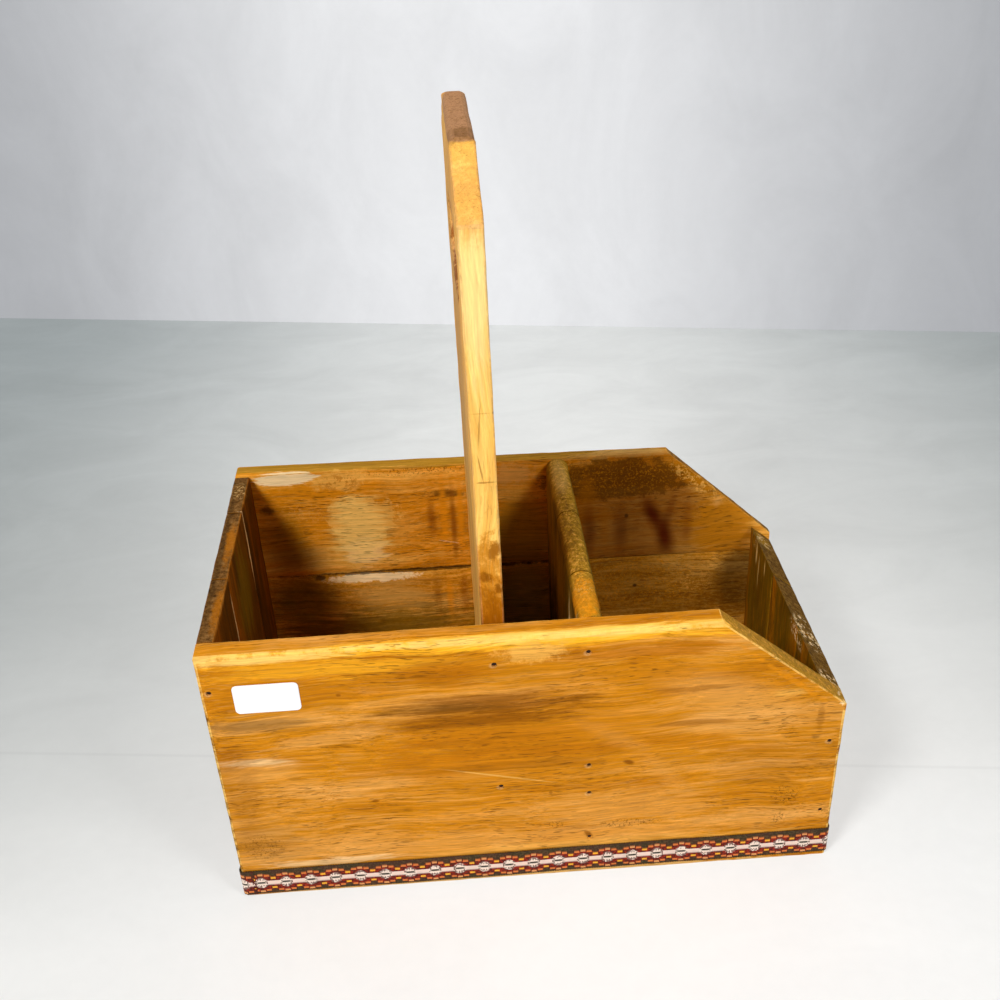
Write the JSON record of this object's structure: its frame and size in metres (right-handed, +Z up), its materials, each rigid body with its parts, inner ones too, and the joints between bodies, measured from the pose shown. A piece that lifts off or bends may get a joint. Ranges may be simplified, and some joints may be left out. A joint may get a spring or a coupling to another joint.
{
  "type": "wooden tool tote",
  "caption": "Open wooden tote with a tall handle board pierced by a hand hole, a rounded divider, a low sloping end and a woven ribbon round the base.",
  "frame": {"origin": "middle of the base, on the surface the tote stands on", "axes": "+X along the front towards the low end, +Y from the front panel to the back panel, +Z up along the handle board"},
  "size_m": [0.3816, 0.2116, 0.467],
  "materials": {
    "board_wood": "honey stain, satin varnish, streaky grain",
    "end_wood": "dark brown stain over upright grain, satin varnish",
    "divider_wood": "olive-brown stain, satin varnish",
    "bottom_wood": "dark stain, dull",
    "handle_wood": "light honey stain, satin varnish, darker end grain",
    "nail_steel": "darkened round nails, heads flush",
    "woven_ribbon": "jacquard-woven ribbon in olive, orange, dark red and off-white",
    "label_paper": "plain white paper sticker"
  },
  "bodies": {
    "root": {"front_panel": "board_wood", "back_panel_lower": "board_wood", "back_panel_upper": "board_wood", "high_end_front": "end_wood", "high_end_middle": "end_wood", "high_end_back": "end_wood", "low_end_front": "end_wood", "low_end_middle": "end_wood", "low_end_back": "end_wood", "divider_front": "divider_wood", "divider_middle": "divider_wood", "divider_back": "divider_wood", "bottom_front": "bottom_wood", "bottom_back": "bottom_wood", "handle_board": "handle_wood", "high_end_nails": "nail_steel", "handle_nails": "nail_steel", "divider_nails": "nail_steel", "low_end_nails": "nail_steel", "bottom_nails": "nail_steel", "ribbon": "woven_ribbon", "label": "label_paper"}
  },
  "joints": []
}
